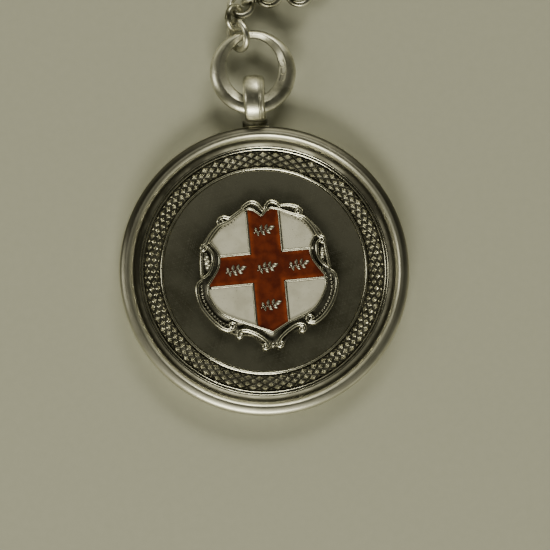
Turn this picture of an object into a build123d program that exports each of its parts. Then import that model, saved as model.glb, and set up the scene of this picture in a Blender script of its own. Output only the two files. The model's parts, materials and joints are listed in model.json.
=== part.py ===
from build123d import *
import os
from math import asin, atan2, cos, degrees, pi, radians, sin

# A short fob chain for a waistcoat: an enamelled silver medal that hangs from a heavy ring,
# a cable chain of round links, and a swivel clip that takes the watch's bow.
# Millimetres. The medal lies on its back with its face up. The origin is the centre of the
# medal's back face, +Z comes out of the face and +Y runs from the medal towards the bail.

# ---------------------------------------------------------------- driving dimensions

# medal body
medal_radius = 16.0
rim_height = 2.6
rim_wall_height = 2.0            # upright part of the rim's outer wall
rim_crest_radius = 15.1          # highest line of the rim's polished bead
rim_inner_radius = 13.85
rim_lip_radius = 14.55           # inner foot of the bead, where the cove starts down
rim_lip_height = 2.15
rim_foot_height = 1.25           # where the cove meets the border ring
edge_break = 0.3
field_height = 1.2               # face of the medal's flat field
channel_depth = 0.4              # seat for the engine-turned border ring
border_inner_radius = 11.08
border_groove_depth = 0.1
border_groove_radii = (11.2, 11.5, 13.35, 13.65)
border_groove_width = 0.14

# enamelled shield on the field
shield_centre = (0.35, 0.3)
shield_turn = 2.0
shield_height = 0.9
enamel_floor = 0.4               # silver under the enamel
enamel_depth = 0.3
cell_wall = 0.3
cross_post_width = 3.3
cross_bar_width = 3.1
sprig_height = 0.15
leaf_length = 1.15
leaf_width = 0.9
leaf_spread = 0.62               # from the sprig's middle to each leaf's middle
leaf_tilt = 28.0
sprig_stem_width = 0.26
sprig_post_step = 4.15           # sprigs above and below the middle one
sprig_bar_step = 3.5             # sprigs beside it

# bail
bail_width = 2.3
bail_length = 5.3
bail_depth = 4.6
bail_wall = 0.5
bail_edge_round = 0.45
bail_twist = 5.0
bail_gap_to_rim = 0.35
foot_width = 2.9
foot_length = 0.75
foot_low = 0.4
foot_high = 1.95

# heavy tapered ring through the bail
ring_outer_radius = 4.75
ring_hole_half_width = 2.9
ring_hole_half_length = 3.3
ring_taper_offset = 0.5          # the hole sits off centre, so the ring thins towards its ends
ring_thickness = 1.3
ring_outer_round = 0.55
ring_inner_round = 0.35
ring_slit = 0.06
ring_slit_angle = 88.0
ring_lean = 3.0                  # the far side of the ring rests lower than the bail
ring_bar_above_rim = 2.2
ring_travel = 95.0

# chain
link_count = 30
link_opening = 0.9               # radius of the hole inside the wire
first_link_opening = 1.25        # the first link also goes round the heavy ring's wire
first_link_slack = 0.3           # more room between the first link and the heavy ring
link_wire = 0.7
link_gap = 0.1                   # running clearance where links hang in each other
link_travel = 40.0               # each way from straight
end_ring_travel = 25.0           # the stout end ring soon meets the last link but one
first_link_travel = 40.0
first_link_angle = 108.0         # where the first link hangs on the ring
first_headings = (105.0, 75.0, 43.0, 20.0, 0.0, -6.0, 20.0, 48.0, 74.0)
sway = 16.0                      # the rest of the chain wanders this much about +Y
sway_links = 21.0
sway_start = 2.0
first_rolls = (60.0, 130.0, 196.0)   # the first links lie askew, then links alternate
level_links = 8                  # links that lie flat and on edge in turn
lean_links = 9                   # links over which the chain settles to lie at 45 degrees
chain_lean = 45.0                # how far the settled chain's links lean from flat
floor_skin = 0.06

# end ring and swivel clip
end_ring_radius = 1.45
end_ring_wire = 0.75
eye_radius = 1.3
eye_wire = 0.8
shank_radius = 0.5
shank_clearance = 0.05
collar_radius = 1.35
collar_length = 3.0
collar_gap = 0.12
collar_lift = 4.35               # from the hook's middle down to the collar's inner end
rivet_radius = 0.85
rivet_length = 0.5
hook_half_width = 4.1
hook_half_length = 6.2
hook_wall = 1.5
hook_thickness = 1.7
hook_edge_round = 0.4
gate_low = -2.7                  # hinge pin's place along the hook, from the hook's middle
gate_high = 3.1
gate_gap = 0.1
gate_travel = 32.0
gate_pin_radius = 0.28
gate_pin_clearance = 0.04
gate_knuckle_radius = 0.85
gate_tongue = 0.7                # thickness of the gate's tongue between the hook's two ears
spring_wire = 0.14
spring_turns = 2
spring_gap = 0.06
thumb_radius = 0.5
thumb_lift = 1.9                 # the thumb stud's place above the hinge pin
gate_neck = 0.9                  # width of the gate where it meets its tongue

# ---------------------------------------------------------------- derived sizes

link_wire_radius = link_wire / 2
link_radius = link_opening + link_wire_radius          # centre line of the wire
first_link_radius = first_link_opening + link_wire_radius
link_nest = link_wire + link_gap          # between the wires of two links that hang in each other
link_pitch = 2 * link_radius - link_nest
border_floor = field_height - channel_depth
bail_start = medal_radius + bail_gap_to_rim
bail_middle = (0.0, bail_start + bail_length / 2, bail_depth / 2 + floor_skin)
ring_bar_width = ring_outer_radius - ring_hole_half_length + ring_taper_offset
ring_bar = Vector(0, medal_radius + ring_bar_above_rim, bail_middle[2])
hook_middle = collar_length + collar_lift
spring_rise = spring_turns * (spring_wire + spring_gap / 2)


# ---------------------------------------------------------------- small helpers

def heading_vector(heading, rise):
    """Unit vector that points along a heading in the floor plane and climbs by rise degrees."""
    flat = cos(radians(rise))
    return Vector(cos(radians(heading)) * flat, sin(radians(heading)) * flat, sin(radians(rise)))


def loop_normal(along, roll):
    """Normal of a round link that points along a direction; roll 0 lies flat, 90 stands on edge."""
    side = Vector(0, 0, 1).cross(along).normalized()
    up = along.cross(side).normalized()
    return (up * cos(radians(roll)) + side * sin(radians(roll))).normalized()


def loop_solid(centre, along, normal, radius, wire):
    """Closed round link of round wire."""
    return Plane(origin=centre, x_dir=along, z_dir=normal) * Torus(radius, wire / 2)


def slab(face, thickness):
    """A face drawn in the XY plane, given a thickness centred on that plane."""
    return Pos(0, 0, -thickness / 2) * extrude(face, thickness)


def turned(profile_points):
    """Solid of revolution about Z from a closed outline of (radius, height) points."""
    outline = Polyline(*[(radius, 0, height) for radius, height in profile_points], close=True)
    return revolve(make_face(outline), Axis.Z, 360)


# ---------------------------------------------------------------- medal

def make_back_plate():
    """Flat disc with a channel round its edge for the border ring."""
    plate = Pos(0, 0, field_height / 2) * Cylinder(border_inner_radius, field_height)
    seat = Pos(0, 0, border_floor / 2) * Cylinder(rim_inner_radius, border_floor)
    return plate + seat


def make_rim_ring():
    """Rim with an upright outer wall and a rounded polished bead."""
    wall_top = (medal_radius, 0, rim_wall_height)
    crest = (rim_crest_radius, 0, rim_height)
    shoulder = (
        (medal_radius + rim_crest_radius) / 2 + edge_break / 2,
        0,
        rim_height - edge_break / 2,
    )
    lip = (rim_lip_radius, 0, rim_lip_height)
    inner_shoulder = (
        (rim_crest_radius + rim_lip_radius) / 2 - edge_break / 4,
        0,
        (rim_height + rim_lip_height) / 2 + edge_break / 4,
    )
    foot = (rim_inner_radius, 0, rim_foot_height)
    cove = (
        (rim_lip_radius + rim_inner_radius) / 2 + edge_break / 4,
        0,
        (rim_lip_height + rim_foot_height) / 2 - edge_break / 4,
    )
    outline = [
        Line((rim_inner_radius, 0, 0), (medal_radius - edge_break, 0, 0)),
        Line((medal_radius - edge_break, 0, 0), (medal_radius, 0, edge_break)),
        Line((medal_radius, 0, edge_break), wall_top),
        ThreePointArc(wall_top, shoulder, crest),
        ThreePointArc(crest, inner_shoulder, lip),
        ThreePointArc(lip, cove, foot),
        Line(foot, (rim_inner_radius, 0, 0)),
    ]
    return revolve(make_face(Wire(outline)), Axis.Z, 360)


def make_border_ring():
    """Border band with turned grooves either side of its engine-turned middle."""
    ring_height = field_height - border_floor
    band = Pos(0, 0, border_floor + ring_height / 2) * Cylinder(rim_inner_radius, ring_height)
    band -= Pos(0, 0, field_height / 2) * Cylinder(border_inner_radius, 2 * field_height)
    for groove in border_groove_radii:
        half = border_groove_width / 2
        band -= turned([
            (groove - half, field_height),
            (groove, field_height - border_groove_depth),
            (groove + half, field_height),
            (groove, field_height + border_groove_depth),
        ])
    return band


def shield_face(curves):
    """Face inside a closed outline of curves, each given as a few points that it passes."""
    return make_face(Wire([Spline(*curve) if len(curve) > 2 else Line(*curve) for curve in curves]))


# scrolled frame of the shield, clockwise from the middle of its top
frame_curves = (
    ((0.1, 6.3), (1.0, 7.25), (2.0, 6.65)),
    ((2.0, 6.65), (3.9, 6.3), (5.4, 4.4), (6.65, 2.5)),
    ((6.65, 2.5), (6.45, 1.2), (6.85, -0.8)),
    ((6.85, -0.8), (7.5, -2.2), (6.9, -4.1), (5.7, -5.8), (3.7, -7.2)),
    ((3.7, -7.2), (2.3, -7.35), (1.1, -8.5), (-0.25, -8.95)),
    ((-0.25, -8.95), (-1.4, -8.5), (-2.5, -7.4), (-4.0, -7.3)),
    ((-4.0, -7.3), (-6.2, -5.8), (-7.8, -3.5), (-8.1, -1.9), (-7.35, -0.6)),
    ((-7.35, -0.6), (-7.05, 1.3), (-7.0, 3.05)),
    ((-7.0, 3.05), (-5.6, 4.75), (-4.2, 6.0), (-2.3, 6.75)),
    ((-2.3, 6.75), (-1.0, 7.35), (0.1, 6.3)),
)
# enamelled field inside it
field_curves = (
    ((-0.15, 5.75), (0.8, 6.5), (2.0, 6.25)),
    ((2.0, 6.25), (4.4, 4.9), (5.5, 3.05)),
    ((5.5, 3.05), (4.9, 1.85), (5.05, 0.5), (6.2, -1.3)),
    ((6.2, -1.3), (6.15, -2.8), (4.7, -4.95), (1.8, -6.2)),
    ((1.8, -6.2), (-0.1, -7.2)),
    ((-0.1, -7.2), (-2.2, -6.25)),
    ((-2.2, -6.25), (-5.4, -4.7), (-6.7, -2.7), (-6.65, -1.3)),
    ((-6.65, -1.3), (-5.4, 0.5), (-5.3, 2.0), (-6.15, 3.35)),
    ((-6.15, 3.35), (-4.6, 5.0), (-2.3, 6.4)),
    ((-2.3, 6.4), (-1.3, 6.6), (-0.15, 5.75)),
)


def on_field(shape, height):
    """Puts a shape drawn about the shield's own middle onto the medal at a height."""
    return Pos(shield_centre[0], shield_centre[1], height) * (Rot(0, 0, shield_turn) * shape)


def cross_face(spare):
    """Plain cross, each arm wider than the enamel's by twice the spare."""
    reach = 4 * medal_radius
    post = Rectangle(cross_post_width + 2 * spare, reach)
    bar = Rectangle(reach, cross_bar_width + 2 * spare)
    return post + bar


def enamel_faces():
    """Faces of the cross and of the four quarters."""
    field = shield_face(field_curves)
    cross = field & cross_face(0)
    quarters = field - cross_face(cell_wall)
    return cross, quarters


def make_shield():
    """Frame, cross and quarters of the enamelled shield."""
    cross, quarters = enamel_faces()
    pocket_height = shield_height
    frame = extrude(shield_face(frame_curves), shield_height)
    pockets = extrude(cross, pocket_height) + extrude(quarters, pocket_height)
    frame -= Pos(0, 0, enamel_floor) * pockets
    frame = on_field(frame, field_height)
    enamel_base = field_height + enamel_floor
    red = on_field(extrude(cross, enamel_depth), enamel_base)
    white = on_field(extrude(quarters, enamel_depth), enamel_base)
    return frame, red, white


def make_leaf_sprigs():
    """Five small applied sprigs of two leaves each, in a cross."""
    leaf = Ellipse(leaf_length / 2, leaf_width / 2)
    sprig = Rectangle(2 * leaf_spread, sprig_stem_width)
    sprig += Pos(leaf_spread, 0) * (Rot(0, 0, leaf_tilt) * leaf)
    sprig += Pos(-leaf_spread, 0) * (Rot(0, 0, -leaf_tilt) * leaf)
    places = [(0, 0)]
    places += [(0, sprig_post_step), (0, -sprig_post_step)]
    places += [(sprig_bar_step, 0), (-sprig_bar_step, 0)]
    top = field_height + enamel_floor + enamel_depth
    solid = extrude(sprig, sprig_height)
    return [on_field(Pos(x, y) * solid, top) for x, y in places]


# ---------------------------------------------------------------- bail and ring

def make_bail():
    """Upright loop of domed strap, and the collar that joins it to the rim."""
    outline = Ellipse(bail_length / 2, bail_depth / 2)
    outline -= Ellipse(bail_length / 2 - bail_wall, bail_depth / 2 - bail_wall)
    strap = slab(outline, bail_width)
    outer_edges = strap.edges().sort_by(SortBy.LENGTH)[-2:]
    strap = fillet(outer_edges, bail_edge_round)
    across = Plane(origin=bail_middle, x_dir=(0, 1, 0), z_dir=(1, 0, 0))
    twist = Pos(*bail_middle) * Rot(0, -bail_twist, 0) * Pos(*[-value for value in bail_middle])
    loop = twist * (across * strap)
    foot_span = foot_length + bail_gap_to_rim
    foot_height = foot_high - foot_low
    foot = Box(foot_width, foot_span, foot_height)
    foot = Pos(0, medal_radius - bail_gap_to_rim + foot_span / 2, foot_low + foot_height / 2) * foot
    foot -= Pos(0, 0, rim_height / 2) * Cylinder(medal_radius, 2 * rim_height)
    foot -= loop
    foot = max(foot.solids(), key=lambda solid: solid.volume)
    return loop, foot


def ring_plane():
    """Plane of the ring: origin in its middle, X along the bail's pin line."""
    along = heading_vector(90, -ring_lean)
    middle = ring_bar + along * (ring_outer_radius - ring_bar_width / 2)
    normal = Vector(1, 0, 0).cross(along)
    return Plane(origin=middle, x_dir=(1, 0, 0), z_dir=normal)


def make_fob_ring():
    """Heavy jump ring with rounded edges that thins towards its closed ends."""
    ring = Cylinder(ring_outer_radius, ring_thickness)
    ring = fillet(ring.edges().filter_by(GeomType.CIRCLE), ring_outer_round)
    hole = slab(Ellipse(ring_hole_half_width, ring_hole_half_length), 2 * ring_thickness)
    ring -= Pos(0, ring_taper_offset, 0) * hole
    hole_edges = ring.edges().filter_by(GeomType.CIRCLE, reverse=True).sort_by(SortBy.LENGTH)[-2:]
    ring = fillet(hole_edges, ring_inner_round)
    slit_length = 2 * (ring_outer_radius - ring_hole_half_width)
    slit = Pos(ring_outer_radius, 0, 0) * Box(slit_length, ring_slit, 2 * ring_thickness)
    ring -= Rot(0, 0, ring_slit_angle) * slit
    return ring_plane() * ring


def ring_wire_at(angle):
    """Middle of the ring's wire at an angle round it, the wire's half width, and its direction."""
    outward = Vector(cos(radians(angle)), sin(radians(angle)), 0)
    # the ray from the ring's middle meets the oval hole where a r^2 - 2 b r + c = 0
    a = (outward.X / ring_hole_half_width) ** 2 + (outward.Y / ring_hole_half_length) ** 2
    b = ring_taper_offset * outward.Y / ring_hole_half_length ** 2
    c = (ring_taper_offset / ring_hole_half_length) ** 2 - 1
    hole_edge = (b + (b ** 2 - a * c) ** 0.5) / a
    half_width = (ring_outer_radius - hole_edge) / 2
    plane = ring_plane()
    middle = plane.from_local_coords(outward * (hole_edge + half_width))
    tangent = plane.x_dir * -outward.Y + plane.z_dir.cross(plane.x_dir) * outward.X
    return middle, half_width, tangent


# ---------------------------------------------------------------- chain

def link_heading(number):
    """Heading of a link in degrees; +Y is 90."""
    if number < len(first_headings):
        return first_headings[number]
    step = number - len(first_headings) + sway_start
    return 90 + sway * sin(2 * pi * step / sway_links)


def link_lean(number):
    """How far a link is turned from lying flat or standing on edge."""
    share = (number - level_links) / lean_links
    return chain_lean * min(max(share, 0), 1)


def link_roll(number):
    """Roll of a link about the chain's line; links alternate by a quarter turn."""
    if number < len(first_rolls):
        return first_rolls[number]
    return link_lean(number) + 90 * (number % 2)


def link_height(number):
    """Height of the chain's line at a link, so that its lowest wire meets the floor."""
    return floor_skin + link_wire_radius + link_radius * cos(radians(link_lean(number)))


def nest_direction(before, after, bar_line):
    """Direction from a link's near bar to the bar it hangs on, where the chain bends.

    The part of the bend about the bar that it hangs on carries the near bar round with it.
    """
    return before.rotate(Axis((0, 0, 0), bar_line), bend_about(bar_line, before, after))


def lay_chain():
    """Centre, direction and normal of every link, and where each hangs in the one before."""
    wire_middle, half_width, tangent = ring_wire_at(first_link_angle)
    reach = max(half_width, ring_thickness / 2) + link_gap + link_wire_radius + first_link_slack
    along = heading_vector(first_headings[0], 0)
    radius = first_link_radius
    centre = wire_middle + along * (radius - reach)
    links = [(centre, along, loop_normal(along, first_rolls[0]), radius)]
    hangs = [(wire_middle, tangent)]
    for number in range(1, link_count):
        climb = link_height(number) - centre.Z
        following = heading_vector(link_heading(number), degrees(asin(climb / link_pitch)) / 2)
        bar = centre + along * radius
        bar_line = along.cross(links[-1][2])
        hangs.append((bar, bar_line))
        radius = link_radius
        centre = bar - nest_direction(along, following, bar_line) * link_nest + following * radius
        along = following
        links.append((centre, along, loop_normal(along, link_roll(number)), radius))
    return links, hangs


def bend_about(axis, before, after):
    """Angle in degrees from one direction to the next, seen along an axis."""
    flat_before = before - axis * before.dot(axis)
    flat_after = after - axis * after.dot(axis)
    return degrees(atan2(flat_before.cross(flat_after).dot(axis), flat_before.dot(flat_after)))


# ---------------------------------------------------------------- end ring and clip

def lay_end(last_link):
    """Places of the end ring and the swivel's eye beyond the last link."""
    centre, along, normal, radius = last_link
    bar = centre + along * radius
    forward = heading_vector(90, 0)
    middle = nest_direction(along, forward, along.cross(normal))
    nest = link_wire_radius + link_gap + end_ring_wire / 2
    ring_centre = bar - middle * nest + forward * end_ring_radius
    ring_centre.Z = floor_skin + end_ring_wire / 2 + end_ring_radius * sin(radians(chain_lean))
    ring_roll = link_roll(link_count)
    ring_normal = loop_normal(forward, ring_roll)
    ring_bar_far = ring_centre + forward * end_ring_radius
    eye_nest = end_ring_wire / 2 + link_gap + eye_wire / 2
    eye_centre = ring_bar_far + forward * (eye_radius - eye_nest)
    eye_normal = loop_normal(forward, ring_roll + 90)
    return {
        "end_ring": (ring_centre, forward, ring_normal),
        "end_ring_hang": (bar, along.cross(normal)),
        "eye": (eye_centre, forward, eye_normal),
        "eye_hang": (ring_bar_far, forward.cross(ring_normal)),
    }


def make_swivel_eye(eye):
    """Eye with a plain shank whose riveted head turns inside the hook's collar."""
    centre, along, normal = eye
    loop = loop_solid(centre, along, normal, eye_radius, eye_wire)
    shank_length = eye_wire / 2 + collar_gap + collar_length + collar_gap
    start = centre + along * eye_radius
    shank_middle = start + along * (shank_length / 2)
    shank = Plane(origin=shank_middle, z_dir=along) * Cylinder(shank_radius, shank_length)
    return loop + shank, start + along * shank_length


def make_rivet(shank_end):
    """Burr that the shank's end is spread over inside the hook."""
    burr = Cylinder(rivet_radius, rivet_length)
    burr = fillet(burr.edges().filter_by(GeomType.CIRCLE).sort_by(Axis.Z)[-1], rivet_length / 2)
    burr_middle = shank_end + Vector(0, rivet_length / 2, 0)
    return Plane(origin=burr_middle, z_dir=(0, 1, 0)) * burr


def hook_band():
    """Oval band of the hook, before the gate is cut from it."""
    band = Ellipse(hook_half_width, hook_half_length)
    band -= Ellipse(hook_half_width - hook_wall, hook_half_length - hook_wall)
    solid = slab(band, hook_thickness)
    return fillet(solid.edges().sort_by(SortBy.LENGTH)[-4:], hook_edge_round)


def gate_pin_place():
    """Hinge pin's place, in the middle of the band's wall."""
    half_width = hook_half_width - hook_wall / 2
    half_length = hook_half_length - hook_wall / 2
    return half_width * (1 - (gate_low / half_length) ** 2) ** 0.5, gate_low


def make_hook():
    """Hook with its collar, and the gate that is hinged in it, about the hook's middle."""
    pin_x, pin_y = gate_pin_place()
    band = hook_band()
    gate_span = gate_high - gate_low
    gap_box = Box(2 * hook_half_width, gate_span, 2 * hook_thickness)
    gap_box = Pos(hook_half_width, gate_low + gate_span / 2, 0) * gap_box
    knuckle = Pos(pin_x, pin_y, 0) * Cylinder(gate_knuckle_radius, hook_thickness)
    knuckle_room = Pos(pin_x, pin_y, 0) * Cylinder(gate_knuckle_radius + gate_gap, hook_thickness)
    tongue_slab = Pos(pin_x, pin_y, 0) * Box(
        2 * hook_half_width, 4 * gate_knuckle_radius, gate_tongue,
    )
    tongue_room = Pos(pin_x, pin_y, 0) * Box(
        2 * (gate_knuckle_radius + gate_gap),
        2 * (gate_knuckle_radius + gate_gap),
        gate_tongue + 2 * gate_gap,
    )
    pin_hole = Pos(pin_x, pin_y, 0) * Cylinder(gate_pin_radius, 2 * hook_thickness)
    gate_hole = Pos(pin_x, pin_y, 0) * Cylinder(
        gate_pin_radius + gate_pin_clearance, 2 * hook_thickness,
    )

    hook = band - gap_box + knuckle - tongue_room - pin_hole
    hook = max(hook.solids(), key=lambda solid: solid.volume)

    blade_cut = Pos(hook_half_width, gate_low + gate_span / 2, 0)
    blade_box = Box(2 * hook_half_width, gate_span - 2 * gate_gap, 2 * hook_thickness)
    blade = band & (blade_cut * blade_box)
    blade -= knuckle_room
    tongue = knuckle & tongue_slab
    neck = Pos(pin_x, pin_y + gate_knuckle_radius, 0) * Box(
        gate_neck, 2 * gate_knuckle_radius, gate_tongue,
    )
    gate = blade + tongue + neck - gate_hole
    spring_room = Pos(pin_x, pin_y, 0) * Cylinder(
        gate_pin_radius + spring_gap + spring_wire + spring_gap,
        spring_rise + spring_wire + spring_gap,
    )
    gate -= spring_room
    thumb = Pos(hook_half_width, gate_low + thumb_lift, 0)
    gate += thumb * (Rot(0, 90, 0) * Cylinder(thumb_radius, hook_wall))
    gate = max(gate.solids(), key=lambda solid: solid.volume)

    collar = Cylinder(collar_radius, collar_length)
    collar = fillet(collar.edges().filter_by(GeomType.CIRCLE), hook_edge_round)
    collar_place = Pos(0, -hook_middle + collar_length / 2, 0) * Rot(90, 0, 0)
    bore = Cylinder(shank_radius + shank_clearance, 3 * collar_length)
    hook = hook + collar_place * collar - collar_place * bore
    pin = Pos(pin_x, pin_y, 0) * Cylinder(gate_pin_radius, hook_thickness)
    return hook, gate, pin


def make_gate_spring():
    """Fine coil round the hinge pin, inside the gate's tongue."""
    pin_x, pin_y = gate_pin_place()
    coil_radius = gate_pin_radius + spring_gap + spring_wire / 2
    path = Helix(spring_rise / spring_turns, spring_rise, coil_radius)
    start = Plane(origin=path @ 0, z_dir=path % 0)
    coil = sweep(start * Circle(spring_wire / 2), path=path, is_frenet=True)
    return Pos(pin_x, pin_y, -spring_rise / 2) * coil


# ---------------------------------------------------------------- the whole object

def build_nodes():
    """Every separate piece of the object by name, and the joints that let it move."""
    nodes = {
        "back_plate": make_back_plate(),
        "rim_ring": make_rim_ring(),
        "border_ring": make_border_ring(),
    }
    nodes["shield_frame"], nodes["enamel_cross"], nodes["enamel_quarters"] = make_shield()
    nodes["leaf_sprigs"] = Compound(children=make_leaf_sprigs())
    nodes["bail_loop"], nodes["bail_foot"] = make_bail()
    nodes["fob_ring"] = make_fob_ring()

    joints = [{
        "name": "ring_swing", "parent": "medal", "child": "fob_ring",
        "pos": ring_bar, "axis": Vector(1, 0, 0),
        "range": (-ring_travel, ring_travel),
    }]
    links, hangs = lay_chain()
    parent = "fob_ring"
    for number, (centre, along, normal, radius) in enumerate(links):
        name = f"link_{number + 1:02d}"
        nodes[name] = loop_solid(centre, along, normal, radius, link_wire)
        place, axis = hangs[number]
        zigzag = 1 if number % 4 < 2 else -1
        if number == 0:
            limits = (-first_link_travel, first_link_travel)
        else:
            bend = bend_about(axis * zigzag, links[number - 1][1], along)
            limits = (-link_travel - bend, link_travel - bend)
        joints.append({
            "name": f"{name}_swing", "parent": parent, "child": name,
            "pos": place, "axis": axis * zigzag, "range": limits,
        })
        parent = name

    end = lay_end(links[-1])
    nodes["end_ring"] = loop_solid(*end["end_ring"], end_ring_radius, end_ring_wire)
    nodes["swivel_eye"], shank_end = make_swivel_eye(end["eye"])
    nodes["swivel_rivet"] = make_rivet(shank_end)
    joints.append({
        "name": "end_ring_swing", "parent": parent, "child": "end_ring",
        "pos": end["end_ring_hang"][0], "axis": end["end_ring_hang"][1],
        "range": (-end_ring_travel, end_ring_travel),
    })
    joints.append({
        "name": "eye_swing", "parent": "end_ring", "child": "swivel_eye",
        "pos": end["eye_hang"][0], "axis": end["eye_hang"][1],
        "range": (-link_travel, link_travel),
    })

    eye_centre = end["eye"][0]
    collar_start = eye_centre.Y + eye_radius + eye_wire / 2 + collar_gap
    hook_place = Pos(eye_centre.X, collar_start + hook_middle, eye_centre.Z)
    hook, gate, pin = make_hook()
    nodes["clip_hook"] = hook_place * hook
    nodes["clip_gate"] = hook_place * gate
    nodes["gate_pin"] = hook_place * pin
    nodes["gate_spring"] = hook_place * make_gate_spring()
    joints.append({
        "name": "clip_swivel", "parent": "swivel_eye", "child": "clip_hook",
        "pos": eye_centre, "axis": Vector(0, 1, 0), "continuous": True,
    })
    pin_x, pin_y = gate_pin_place()
    pin_place = Vector(eye_centre.X + pin_x, collar_start + hook_middle + pin_y, eye_centre.Z)
    joints.append({
        "name": "gate_open", "parent": "clip_hook", "child": "clip_gate",
        "pos": pin_place, "axis": Vector(0, 0, 1), "range": (0, gate_travel),
    })
    return nodes, joints


def main():
    """Writes one STEP file for each piece."""
    os.makedirs("parts", exist_ok=True)
    nodes, joints = build_nodes()
    for name, shape in nodes.items():
        export_step(shape, f"parts/{name}.step")
    print(len(nodes), "pieces,", len(joints), "joints")


if __name__ == "__main__":
    main()
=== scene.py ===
import json
from math import atan2, cos, hypot, pi, radians, sin

import bmesh
import bpy
from mathutils import Matrix, Vector


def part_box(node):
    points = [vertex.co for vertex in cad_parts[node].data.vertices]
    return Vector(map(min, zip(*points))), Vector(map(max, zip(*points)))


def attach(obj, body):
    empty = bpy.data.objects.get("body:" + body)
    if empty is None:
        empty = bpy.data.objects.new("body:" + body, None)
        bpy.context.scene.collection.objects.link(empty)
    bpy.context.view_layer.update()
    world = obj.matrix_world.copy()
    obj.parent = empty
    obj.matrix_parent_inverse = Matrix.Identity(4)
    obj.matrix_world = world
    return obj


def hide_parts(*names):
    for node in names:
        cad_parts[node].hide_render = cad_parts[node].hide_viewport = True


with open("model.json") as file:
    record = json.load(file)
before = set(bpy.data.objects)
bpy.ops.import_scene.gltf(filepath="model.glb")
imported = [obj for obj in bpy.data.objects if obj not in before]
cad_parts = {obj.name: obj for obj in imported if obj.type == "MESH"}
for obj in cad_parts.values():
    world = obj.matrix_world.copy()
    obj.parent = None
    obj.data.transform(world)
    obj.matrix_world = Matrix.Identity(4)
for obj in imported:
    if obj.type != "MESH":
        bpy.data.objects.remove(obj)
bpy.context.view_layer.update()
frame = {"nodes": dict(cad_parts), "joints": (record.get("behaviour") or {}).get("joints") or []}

# A silver fob chain: an enamelled medal on a heavy ring, a cable chain and a swivel clip.
# Sizes are in millimetres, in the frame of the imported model, and every mesh is written in
# metres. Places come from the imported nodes.

MM = 0.001


# ---------------------------------------------------------------- node trees as expressions

class Socket:
    """An output in a node tree. Arithmetic on it adds Math nodes."""

    def __init__(self, tree, socket):
        self.tree = tree
        self.socket = socket

    def maths(self, operation, first, second=0.0):
        return self.tree.add("ShaderNodeMath", {"operation": operation}, {0: first, 1: second})

    def __add__(self, other):
        return self.maths("ADD", self, other)

    def __radd__(self, other):
        return self.maths("ADD", other, self)

    def __sub__(self, other):
        return self.maths("SUBTRACT", self, other)

    def __rsub__(self, other):
        return self.maths("SUBTRACT", other, self)

    def __mul__(self, other):
        return self.maths("MULTIPLY", self, other)

    def __rmul__(self, other):
        return self.maths("MULTIPLY", other, self)

    def __truediv__(self, other):
        return self.maths("DIVIDE", self, other)

    def __pow__(self, other):
        return self.maths("POWER", self, other)

    def floor(self):
        return self.maths("FLOOR", self)

    def modulo(self, other):
        return self.maths("MODULO", self, other)

    def cosine(self):
        return self.maths("COSINE", self)

    def sine(self):
        return self.maths("SINE", self)

    def size(self):
        return self.maths("ABSOLUTE", self)

    def most(self, other):
        return self.maths("MAXIMUM", self, other)

    def ramp(self, low, high):
        """0 below low, 1 above high and smooth between; high may be the smaller."""
        limits = {"Value": self, "From Min": low, "From Max": high}
        return self.tree.add("ShaderNodeMapRange", {"interpolation_type": "SMOOTHSTEP"}, limits)


class Tree:
    """A node tree that is being built, for a material or for Geometry Nodes."""

    def __init__(self, tree):
        self.tree = tree

    def add(self, kind, settings=None, inputs=None, output=0):
        """Adds a node of a kind, sets it, joins its inputs and returns one output."""
        node = self.tree.nodes.new(kind)
        for name, value in (settings or {}).items():
            setattr(node, name, value)
        for name, value in (inputs or {}).items():
            if isinstance(value, Socket):
                self.tree.links.new(value.socket, node.inputs[name])
            else:
                node.inputs[name].default_value = value
        return Socket(self, node.outputs[output])

    def vector(self, x, y, z):
        return self.add("ShaderNodeCombineXYZ", {}, {0: x, 1: y, 2: z})


class Finish(Tree):
    """A material that reads the piece's own coordinates, in millimetres."""

    def __init__(self, name):
        self.material = bpy.data.materials.new(name)
        self.material.use_nodes = True
        super().__init__(self.material.node_tree)
        self.tree.nodes.clear()
        raw = self.add("ShaderNodeTexCoord", output="Object")
        grown = {0: raw, "Scale": 1 / MM}
        self.place = self.add("ShaderNodeVectorMath", {"operation": "SCALE"}, grown)
        self.x = self.add("ShaderNodeSeparateXYZ", {}, {0: self.place}, 0)
        self.y = self.add("ShaderNodeSeparateXYZ", {}, {0: self.place}, 1)
        self.z = self.add("ShaderNodeSeparateXYZ", {}, {0: self.place}, 2)

    def mix(self, first, second, share):
        """Colour that goes from the first to the second as the share goes from 0 to 1."""
        return self.add("ShaderNodeMix", {"data_type": "RGBA"}, {0: share, 6: first, 7: second}, 2)

    def noise(self, per_mm, detail=3.0, place=None):
        """Cloudy value about 0.5, with a number of clouds to the millimetre."""
        where = place or self.place
        inputs = {"Vector": where, "Scale": per_mm, "Detail": detail}
        return self.add("ShaderNodeTexNoise", {}, inputs)

    def strokes(self, turn, length, width):
        """Fine parallel scratches at an angle, from cloudy noise stretched one way."""
        along = self.x * cos(radians(turn)) + self.y * sin(radians(turn))
        across = self.y * cos(radians(turn)) - self.x * sin(radians(turn))
        return self.noise(1.0, 1.0, self.vector(along / length, across / width, self.z / length))

    def close(self, colour, roughness, metallic=0.0, bump=None, fixed=None):
        """Adds the surface shader; bump is (height, strength, depth in millimetres)."""
        inputs = {"Base Color": colour, "Roughness": roughness, "Metallic": metallic}
        if bump:
            height, strength, depth = bump
            lift = {"Strength": strength, "Distance": depth * MM, "Height": height}
            inputs["Normal"] = self.add("ShaderNodeBump", {}, lift)
        inputs.update(fixed or {})
        surface = self.add("ShaderNodeBsdfPrincipled", {}, inputs)
        end = self.tree.nodes.new("ShaderNodeOutputMaterial")
        self.tree.links.new(surface.socket, end.inputs["Surface"])
        return self.material


# ---------------------------------------------------------------- finishes

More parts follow.
